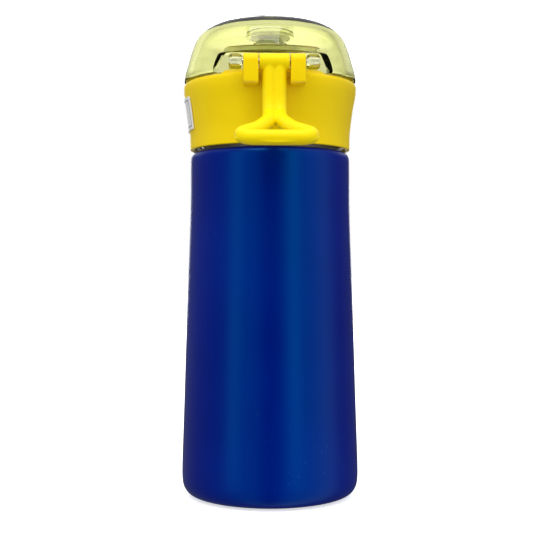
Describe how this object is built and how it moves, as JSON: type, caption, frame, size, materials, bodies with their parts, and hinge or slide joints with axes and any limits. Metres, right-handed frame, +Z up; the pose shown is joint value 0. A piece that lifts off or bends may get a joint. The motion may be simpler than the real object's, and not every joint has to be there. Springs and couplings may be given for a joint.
{
  "type": "kids water bottle",
  "caption": "Insulated steel drinking bottle with a screw lid, flip-up clear dome cover, soft spout, push-button catch with a lock, and a swinging carry loop.",
  "frame": {"origin": "on the bottle's axis, on the flat underside of the base pad", "axes": "+Z up along the bottle's axis, -Y towards the hinge and the carry handle, +Y towards the opening button"},
  "size_m": [0.0664, 0.0921, 0.1776],
  "materials": {
    "body_paint": "satin blue powder coat on stainless steel",
    "bare_steel": "bare stainless steel, brushed",
    "getter_metal": "dull sintered metal",
    "seal_resin": "dark sealing resin",
    "base_rubber": "non-slip pad, matt",
    "silicone": "food-grade silicone, milky",
    "spout_silicone": "soft drinking spout, translucent milky silicone",
    "insert_plastic": "off-white polypropylene",
    "lid_yellow": "moulded yellow polypropylene, satin",
    "handle_yellow": "moulded yellow polypropylene, a little brighter and softer",
    "clear_dome": "clear moulded cover tinted pale yellow-green, polished",
    "pin_steel": "drawn stainless wire",
    "lock_white": "white moulded plastic",
    "badge_print": "white printed plate"
  },
  "bodies": {
    "bottle": {"outer_shell": "body_paint", "inner_vessel": "bare_steel", "base_disc": "bare_steel", "vacuum_seal": "seal_resin", "getter": "getter_metal", "base_pad": "base_rubber"},
    "lid_lift": {"neck_gasket": "silicone"},
    "lid": {"collar": "lid_yellow", "lid_core": "insert_plastic", "spout": "spout_silicone", "spout_seal": "silicone", "air_vent": "silicone", "hinge_pin": "pin_steel", "side_badge": "badge_print", "button_spring": "pin_steel"},
    "cover": {"cover_dome": "clear_dome", "plug_seal": "silicone"},
    "handle": {"carry_handle": "handle_yellow"},
    "button": {"push_button": "lid_yellow"},
    "lock": {"lock_slider": "lock_white"}
  },
  "joints": [
    {"name": "lid_rise", "type": "slide", "parent": "bottle", "child": "lid_lift", "axis": [0, 0, 1], "range_m": [0, 0.01601]},
    {"name": "lid_screw", "type": "hinge", "parent": "lid_lift", "child": "lid", "pos_m": [0, 0, 0.14], "axis": [0, 0, 1], "range_deg": [0, 720]},
    {"name": "cover_hinge", "type": "hinge", "parent": "lid", "child": "cover", "pos_m": [0, -0.0352, 0.1567], "axis": [1, 0, 0], "range_deg": [0, 140]},
    {"name": "handle_swing", "type": "hinge", "parent": "lid", "child": "handle", "pos_m": [0, -0.0352, 0.1567], "axis": [-1, 0, 0], "range_deg": [0, 180]},
    {"name": "button_press", "type": "slide", "parent": "lid", "child": "button", "axis": [0, -1, 0], "range_m": [0, 0.002], "stiffness_N_per_m": 800, "springref_m": -0.002, "deforming": ["button_spring"]},
    {"name": "lock_slide", "type": "slide", "parent": "lid", "child": "lock", "axis": [0, 0, -1], "range_m": [-0.0026, 0]}
  ],
  "couplings": [
    {"joint": "lid_rise", "follows": "lid_screw", "m_per_rad": 0.0012732}
  ]
}
